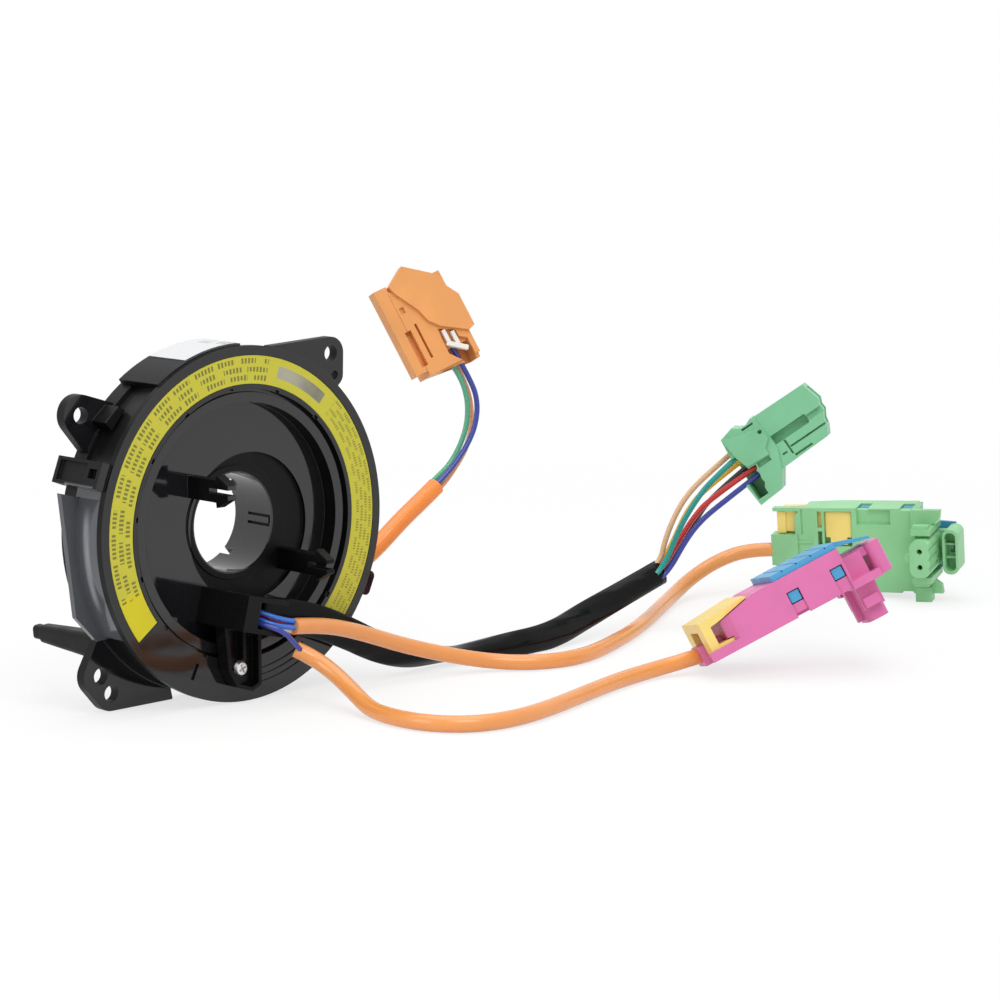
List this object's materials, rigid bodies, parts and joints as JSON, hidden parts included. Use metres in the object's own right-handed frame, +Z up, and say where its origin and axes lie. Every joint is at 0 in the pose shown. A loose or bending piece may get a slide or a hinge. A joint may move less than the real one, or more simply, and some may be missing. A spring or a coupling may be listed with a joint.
{
  "type": "steering clock spring",
  "caption": "Rotary contact reel for a steering wheel: black two-part drum with a turning dished rotor, mounting tabs, and cables to coloured plug connectors.",
  "frame": {"origin": "on the shaft axis, in the plane of the mounting tabs' back faces", "axes": "+Z up as the drum stands, -Y out of the front face along the shaft axis, +X to the right of the front face"},
  "size_m": [0.3399, 0.1552, 0.1198],
  "materials": {
    "housing_black": "glossy moulded black",
    "label_yellow": "printed film",
    "sticker_white": "paper sticker",
    "ribbon": "flat cable film",
    "screw_steel": "plated steel",
    "sheath_orange": "cable sheath",
    "sheath_bright": "cable sheath",
    "sleeve_black": "soft sleeving",
    "connector_orange": "moulded",
    "lock_white": "moulded",
    "connector_green": "moulded",
    "squib_green": "moulded",
    "carrier_blue": "moulded",
    "lock_yellow": "moulded",
    "squib_pink": "moulded",
    "wire_tan": "insulation",
    "wire_yellow": "insulation",
    "wire_teal": "insulation",
    "wire_red": "insulation",
    "wire_black": "insulation",
    "wire_navy": "insulation",
    "wire_mint": "insulation",
    "wire_white": "insulation",
    "wire_orange": "insulation",
    "wire_blue": "insulation"
  },
  "bodies": {
    "housing": {"rear_housing": "housing_black", "front_cover": "housing_black", "caution_label_ring": "label_yellow", "side_sticker": "sticker_white", "flat_cable_coil": "ribbon", "stator_sheath": "sheath_bright", "stator_wire_green": "wire_mint", "stator_wire_blue": "wire_navy", "stator_wire_white": "wire_white", "stator_wire_orange": "wire_orange", "stator_connector_housing": "connector_orange"},
    "rotor": {"rotor": "housing_black", "rotor_sleeve": "housing_black", "cable_exit_housing": "housing_black", "lock_screw": "screw_steel", "orange_sheath_upper": "sheath_orange", "orange_sheath_lower": "sheath_orange", "black_sleeve": "sleeve_black", "lead_wire_blue_top": "wire_blue", "lead_wire_red": "wire_red", "lead_wire_blue_mid": "wire_blue", "lead_wire_white": "wire_white", "lead_wire_blue_low": "wire_navy", "wire_tan": "wire_tan", "wire_yellow": "wire_yellow", "wire_teal": "wire_teal", "wire_red": "wire_red", "wire_black": "wire_black", "wire_navy": "wire_navy", "six_way_connector": "connector_green", "green_squib_housing": "squib_green", "green_squib_carrier": "carrier_blue", "pink_squib_housing": "squib_pink", "pink_squib_carrier": "carrier_blue"},
    "green_lock": {"green_squib_lock": "lock_yellow"},
    "pink_lock": {"pink_squib_lock": "lock_yellow"},
    "stator_lock": {"stator_connector_lock": "lock_white"}
  },
  "joints": [
    {"name": "rotor_turn", "type": "hinge", "parent": "housing", "child": "rotor", "pos_m": [0, 0, 0], "axis": [0, -1, 0], "range_deg": [-900, 900]},
    {"name": "green_lock_slide", "type": "slide", "parent": "rotor", "child": "green_lock", "axis": [-0.4475, 0.8932, -0.044], "range_m": [0, 0.0023]},
    {"name": "pink_lock_slide", "type": "slide", "parent": "rotor", "child": "pink_lock", "axis": [-0.7793, 0.4533, -0.4328], "range_m": [0, 0.0023]},
    {"name": "stator_lock_slide", "type": "slide", "parent": "housing", "child": "stator_lock", "axis": [0.2404, -0.4141, -0.8779], "range_m": [0, 0.0015]}
  ]
}
